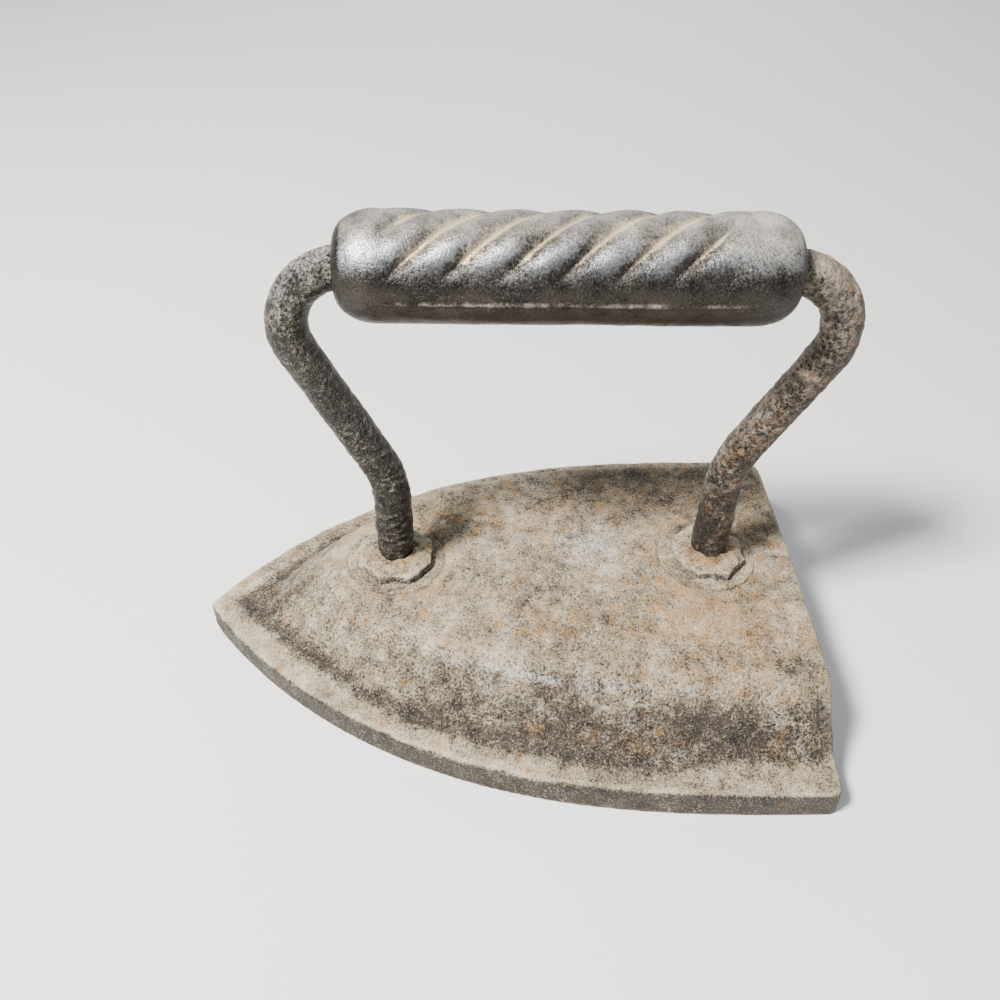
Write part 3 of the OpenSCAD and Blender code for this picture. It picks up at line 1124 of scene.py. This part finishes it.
@dataclass
class FlutedGrip(IronPiece):
    """The hollow cast grip with slanting flutes over its top and a seam on each side, in millimetres."""

    node, slot, finish = "grip", Slot.GRIP, GRIP_POLISH_AND_SHEEN

    front_round: float = 6.8
    front_run: float = 9.5
    rear_round: float = 6.2
    rear_run: float = 8.6
    rear_trim: float = 1.0
    wall: float = 3.5
    end_wall: float = 6.0
    mouth_d: float = 11.2
    seam_height: float = 0.45
    seam_turn: float = -10.0
    pitch: float = 12.1
    lead: float = 80.0
    first_x: float = 30.95
    depth: float = 1.7
    front_plain: float = 11.0
    rear_plain: float = 17.0
    facets: int = 96
    voxel: float = 0.5

    def __post_init__(self) -> None:
        """Takes the length, radius and axis from the CAD node's box."""
        low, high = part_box(self.node)
        self.low_x, self.high_x = low[0] / MM + self.rear_trim, high[0] / MM
        self.axis_z = (low[2] + high[2]) / 2 / MM
        self.radius = (high[2] - low[2]) / 2 / MM

    def corner(self, end: float, run: float, drop: float) -> list[tuple[float, float]]:
        """Rounds the outer edge of one end.

        Args:
            end: where the end's face stands on X.
            run: how far in the rounding starts, less than 0 at the low end.
            drop: how much radius it takes off.

        Returns:
            Rows of x and radius, from the side to the face.
        """
        turn = np.radians(np.linspace(0, 90, 9))
        return [(end - run * (1 - math.sin(a)), self.radius - drop * (1 - math.cos(a))) for a in turn]

    def profile(self) -> Rows:
        """Draws the half section.

        Returns:
            Rows of x and radius, round the wall and back.
        """
        hole, cavity = self.mouth_d / 2, self.radius - self.wall
        rows = self.corner(self.high_x, self.front_run, self.front_round)
        rows += [(self.high_x, hole), (self.high_x - self.end_wall, hole)]
        rows += [(self.high_x - self.end_wall, cavity), (self.low_x + self.end_wall, cavity)]
        rows += [(self.low_x + self.end_wall, hole), (self.low_x, hole)]
        return np.array(rows + self.corner(self.low_x, -self.rear_run, self.rear_round)[::-1])

    def build(self) -> Bench:
        """Spins the half section into the hollow grip.

        Returns:
            The bench that holds it.
        """
        bench = Bench("fluted_grip")
        rows = self.profile()
        bench.loop(len(rows))
        bench.rest()
        spots = rows[bench.order(len(rows))]
        bench.place(np.stack([spots[:, 0], np.zeros(len(rows)), self.axis_z + spots[:, 1]], axis=1))
        bpy.ops.object.mode_set(mode="EDIT")
        bpy.ops.mesh.select_all(action="SELECT")
        bench.sweep((0, 0, self.axis_z), (1, 0, 0), 360, self.facets)
        bench.close(cap=False)
        bench.even(self.voxel, 2)
        return bench

    def polar(self, points: Rows) -> tuple[Rows, Rows, Rows]:
        """Places round the grip's axis.

        Args:
            points: every vertex.

        Returns:
            Radius, turn from the near side over the top in degrees, and place along the grip.
        """
        up = points[:, 2] - self.axis_z
        return np.hypot(points[:, 1], up), np.degrees(np.arctan2(up, points[:, 1])), points[:, 0]

    @staticmethod
    def above(turn: Rows, low: float, high: float) -> Rows:
        """Steps from 0 at low degrees over either side to 1 at high."""
        return fade(turn, low, high) * fade(turn, 180 - low, 180 - high)

    @staticmethod
    def flank(turn: Rows, middle: float, reach: float) -> Rows:
        """Bells at the same height on both sides, in degrees."""
        return around(turn, middle, reach) + around(turn, 180 - middle, reach)

    def seam_gap(self, turn: Rows) -> Rows:
        """Distance round the skin from the nearer seam, in millimetres."""
        near, far = np.abs(turn - self.seam_turn), np.abs(turn + 180 + self.seam_turn)
        return np.minimum(near, np.minimum(far, 360 - far)) * self.radius * math.pi / 180

    def groove(self, points: Rows) -> Rows:
        """How deep each point lies in a groove.

        Args:
            points: every vertex.

        Returns:
            Numbers from 0 on a ridge to 1 at a groove's bottom.
        """
        _, turn, x = self.polar(points)
        phase = (x - self.first_x + self.lead * turn / 360) / self.pitch
        ridge = np.abs(np.sin(math.pi * phase))
        ends = fade(x, self.high_x - self.front_plain + 2, self.high_x - self.front_plain - 4)
        ends *= fade(x, self.low_x + self.rear_plain - 4, self.low_x + self.rear_plain + 5)
        return (0.75 * (1 - ridge**0.85) + 0.25 * (1 - ridge**0.4)) * self.above(turn, 6, 34) * ends

    def roughen(self, bench: Bench) -> None:
        """Cuts the flutes, raises the beaded seams and gives the skin its worn waves.

        Args:
            bench: holds the clean grip.
        """
        points = bench.places()
        radius, turn, x = self.polar(points)
        outside = fade(radius, self.radius - self.wall + 0.6, self.radius - 1.6)
        bench.group("outside", outside)
        middle = fade(x, self.low_x + self.rear_plain - 5, self.low_x + self.rear_plain + 2)
        middle *= fade(x, self.high_x - self.front_plain + 3, self.high_x - self.front_plain - 2)
        bead = 0.75 + 0.8 * grain(points, 2.1, 4.4)
        seam = around(self.seam_gap(turn), 0, 0.62) * middle * np.clip(bead, 0.15, 1.2) * self.seam_height
        hollow = 0.34 * self.flank(turn, 20, 11) * middle
        waist = 0.12 + 0.2 * grain(points, 22, 6.6)
        move = -self.depth * self.groove(points) - hollow - waist + seam
        out = np.stack([np.zeros(len(points)), points[:, 1], points[:, 2] - self.axis_z], axis=1)
        out /= np.maximum(radius, 1e-6)[:, None]
        bench.place(points + out * (move * outside)[:, None])
        bench.finish_with("SMOOTH", factor=0.5, iterations=1, vertex_group="outside")
        bench.lump(6, 0.26, group="outside")
        bench.lump(2.2, 0.1, group="outside")
        bench.keep_inside(*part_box(self.node))

    def weather(self, bench: Bench) -> None:
        """Writes where dust, rust and wear lie, with painted light over the top, painted shade underneath and
        painted highlights on the flanks.

        Args:
            bench: holds the roughened grip.
        """
        points = bench.places()
        radius, turn, x = self.polar(points)
        outside = fade(radius, self.radius - self.wall, self.radius - 2)
        groove = self.groove(points)
        # Paler over the top and dark underneath: painted light and shade, partly dust lying on top.
        dust = -0.20 + 0.66 * self.above(turn, 4, 66) + 0.12 * self.above(turn, 50, 90)
        dust += 0.22 * fade(x, self.low_x + 22, self.low_x + 8) * self.above(turn, 2, 60)
        inner = fade(np.abs(x - (self.low_x + self.high_x) / 2), 42, 34)
        dashes = 0.85 + 0.8 * grain(points, (2.2, 6, 6), 3.3, 2)
        side = self.seam_gap(turn) + 0.3 * grain(points, 5, 8.2)
        dust += 0.74 * around(side, 0, 0.7) * inner * np.clip(dashes, 0, 1)
        rust = 0.02 + 1.3 * groove**1.7 * (0.25 + 0.75 * self.above(turn, 12, 60))
        rust += 0.16 * around(turn, 92, 22) * groove**2
        # Bluish bands on both flanks along the ridges: painted highlights, partly worn polish; fewer towards
        # the rear end.
        worn = 0.68 * self.flank(turn, 40, 23) * (1 - groove) ** 2
        worn *= 0.55 + 0.45 * fade(x, self.low_x + 10, self.low_x + 34)
        relief = np.clip(bench.relief(4) * -0.6, -0.3, 0.3)
        bench.mark(dust * outside, rust * outside, worn * outside, relief)


@dataclass
class NutSet:
    """A flat eight-sided nut and the washer under it, on one leg. Sizes in millimetres."""

    leg: str
    seed: float
    sides: int = 8
    chamfer: float = 0.7
    washer_sides: int = 64
    washer_chamfer: float = 0.3
    hole_d: float = 9.6
    voxel: float = 0.36

    def build(self, node: str, name: str, sides: int, chamfer: float) -> Bench:
        """Models a pierced disc in a CAD node's box.

        Args:
            node: the CAD node.
            name: the new piece's name.
            sides: how many sides it has.
            chamfer: how far its upper edge is turned off.

        Returns:
            The bench that holds it.
        """
        low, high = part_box(node)
        bench = Bench(name)
        radius = (high[0] - low[0]) / 2
        if sides == self.sides:
            radius /= math.cos(math.pi / sides)
        bench.primitive(
            bpy.ops.mesh.primitive_cylinder_add,
            vertices=sides,
            radius=radius,
            depth=high[2] - low[2],
            location=((low[0] + high[0]) / 2, 0, (low[2] + high[2]) / 2),
            rotation=(0, 0, math.pi / sides),
        )
        top = high[2] / MM
        bench.select_where(lambda at: at.z > top - SPARE)
        bpy.ops.mesh.bevel(offset=chamfer * MM, segments=3, affect="EDGES")
        bench.rest()
        bench.bore(centre_x(node), foot_z(node) - OVERSHOOT, top + OVERSHOOT, self.hole_d)
        bench.even(self.voxel, 4)
        return bench

    def knocks(self, at: Rows, away: Rows) -> Rows:
        """Broad and fine dents, strongest at the rim.

        Args:
            at: every vertex.
            away: each vertex's distance from the leg's axis.

        Returns:
            Millimetres outwards.
        """
        broad = grain(at, (6, 6, 12), self.seed)
        fine = grain(at, 2.2, self.seed + 4, 2)
        return fade(away, 7.5, 10.5) * (0.8 * broad - 0.3) + 0.22 * fine

    def wear_nut(self, bench: Bench, node: str) -> None:
        """Knocks the nut's corners about, crusts its face and heaps rust against the leg.

        Args:
            bench: holds the clean nut.
            node: its CAD node.
        """
        low, high = (c[2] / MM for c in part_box(node))
        bench.shift(lambda at, _: self.knocks(at, away_from(node, at)))
        points = bench.places()
        heap = fade(away_from(node, points), 10.5, 5.0) * fade(points[:, 2], low + 0.8, high)
        points[:, 2] += heap * (1.5 + 1.1 * grain(points, 2.4, self.seed + 9))
        points[:, 2] = np.maximum(points[:, 2], low + SPARE)
        bench.place(points)

    def wear_washer(self, bench: Bench, node: str) -> None:
        """Crusts the washer's face, and keeps it in its seat.

        Args:
            bench: holds the clean washer.
            node: its CAD node.
        """
        low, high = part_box(node)
        crust = 0.3 * grain(bench.places(), 3.0, self.seed + 2, 2) + 0.25
        bench.shift(lambda _, up: fade(up[:, 2], 0.2, 0.8) * crust + 0.1)
        spare = Vector((0.3, 0.3, 0.6)) * MM
        bench.keep_inside(low - spare, high + spare)

    def weather(self, bench: Bench, node: str, crust: float, share: float) -> None:
        """Writes where dust, rust and wear lie on a nut or a washer, with painted light and shade on its side
        walls.

        Args:
            bench: holds the worn piece.
            node: its CAD node.
            crust: how much dust its face has.
            share: how strongly its wear and relief show.
        """
        points, normals = bench.places(), bench.facings()
        away = away_from(node, points)
        up = fade(normals[:, 2], -0.1, 0.7)
        rim = fade(normals[:, 2], 0.8, 0.3) * fade(away, 8, 10)
        turned = np.degrees(np.arctan2(points[:, 1], points[:, 0] - centre_x(node)))
        # Side walls that face the lamp are paler and the rest stay dark: painted light and shade.
        dust = crust * up - 0.3 * fade(away, 7, 5.6) + 0.5 * (1 - up) * fade(np.abs(turned - 20), 55, 30)
        rust = 0.22 + 0.42 * around(away, 6.6, 2.2) * fade(points[:, 1], -4, 4) + 0.06 * up
        worn = share * 0.3 * rim * fade(points[:, 1], -2, 6)
        bench.mark(dust, rust, worn, np.clip(bench.relief(4) * 2.5, -0.4, 0.4) * share)

    def make(self, finish: bpy.types.Material) -> None:
        """Builds, wears and delivers the nut and its washer.

        Args:
            finish: the material of both.
        """
        nut, washer = f"{self.leg}_nut", f"{self.leg}_washer"
        bench = self.build(nut, f"{self.leg}_lock_nut", self.sides, self.chamfer)
        self.wear_nut(bench, nut)
        self.weather(bench, nut, 0.60, 1.0)
        bench.deliver(Slot.NUT, finish, nut)
        bench = self.build(washer, f"{self.leg}_seat_washer", self.washer_sides, self.washer_chamfer)
        self.wear_washer(bench, washer)
        self.weather(bench, washer, 0.46, 0.15)
        bench.deliver(Slot.NUT, finish, washer)


@dataclass
class GripCore:
    """The baked core, whose CAD shape stays and takes its finish."""

    node: str = "grip_core"

    def make(self) -> None:
        """Dresses the CAD node."""
        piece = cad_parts[self.node]
        finish = BakedClay().make()
        if not piece.material_slots:
            piece.data.materials.append(finish)
        for place in piece.material_slots:
            place.material = finish
        LOG.info("%s: CAD node dressed", self.node)


@dataclass
class Studio:
    """Plain pale floor, soft lights and the camera. Sizes in metres."""

    floor_size: float = 6.0
    eye: Point = (0.011, 0.1895, 0.2216)
    right: Point = (-0.99928, 0.02804, 0.02548)
    up: Point = (0.00004, -0.67168, 0.74083)
    ahead: Point = (-0.03789, -0.74030, -0.67120)
    lens: float = 34.5
    sensor: float = 36.0
    target: Point = (0, 0, 0.05)
    sky_tint: Colour = (0.93, 0.95, 1.0)
    sky_power: float = 0.2

    def make(self) -> None:
        """Sets out the floor, lights and camera."""
        self.floor()
        self.sky()
        self.lamp("key", (0.40, 0.24, 0.72), 0.16, 24.0, (1.0, 0.975, 0.93))
        self.lamp("fill", (-0.6, 0.5, 0.45), 0.9, 2.5, (0.90, 0.95, 1.0))
        self.lamp("rim", (-0.1, -0.8, 0.5), 0.7, 4.0, (0.93, 0.97, 1.0))
        self.camera()

    def floor(self) -> None:
        """Lays the floor, a plain sheet of pale paper."""
        bench = Bench("floor")
        bench.primitive(
            bpy.ops.mesh.primitive_grid_add, x_subdivisions=2, y_subdivisions=2, size=self.floor_size
        )
        bench.rest()
        nodes = Nodes("floor_paper")
        tone = nodes.blend(nodes.noise(300, 1.0).step(-1, 1), (0.80, 0.79, 0.775), (0.83, 0.82, 0.805))
        bench.piece.data.materials.append(nodes.wire(Base_Color=tone, Roughness=0.9))

    def sky(self) -> None:
        """Fills the room with pale light."""
        world = bpy.data.worlds.new("studio")
        world.use_nodes = True
        background = world.node_tree.nodes["Background"].inputs
        background["Color"].default_value = (*self.sky_tint, 1.0)
        background["Strength"].default_value = self.sky_power
        bpy.context.scene.world = world

    def lamp(self, name: str, at: Point, size: float, power: float, tint: Colour) -> None:
        """Hangs a square light that looks at the iron.

        Args:
            name: the light's name.
            at: its place.
            size: the side of its square.
            power: its power in watts.
            tint: its colour.
        """
        data = bpy.data.lights.new(name, "AREA")
        data.size, data.energy, data.color = size, power, tint
        lamp = bpy.data.objects.new(name, data)
        lamp.location = at
        lamp.rotation_euler = (Vector(self.target) - Vector(at)).to_track_quat("-Z", "Y").to_euler()
        bpy.context.scene.collection.objects.link(lamp)

    def camera(self) -> None:
        """Sets the camera."""
        data = bpy.data.cameras.new("camera")
        data.lens, data.sensor_width = self.lens, self.sensor
        data.clip_start, data.clip_end = 0.01, 20.0
        eye = bpy.data.objects.new("camera", data)
        right, up, back = Vector(self.right), Vector(self.up), -Vector(self.ahead)
        eye.matrix_world = Matrix.Translation(self.eye) @ Matrix((right, up, back)).transposed().to_4x4()
        bpy.context.scene.collection.objects.link(eye)
        bpy.context.scene.camera = eye


def main() -> None:
    """Makes every piece in order."""
    logging.basicConfig(level=logging.INFO, format="%(name)s %(message)s")
    Studio().make()
    CastBody().make()
    BentRod().make()
    FlutedGrip().make()
    rust = NUT_RUST.make()
    NutSet("front", 1.7).make(rust)
    NutSet("rear", 12.3).make(rust)
    GripCore().make()


if __name__ == "__main__":
    main()
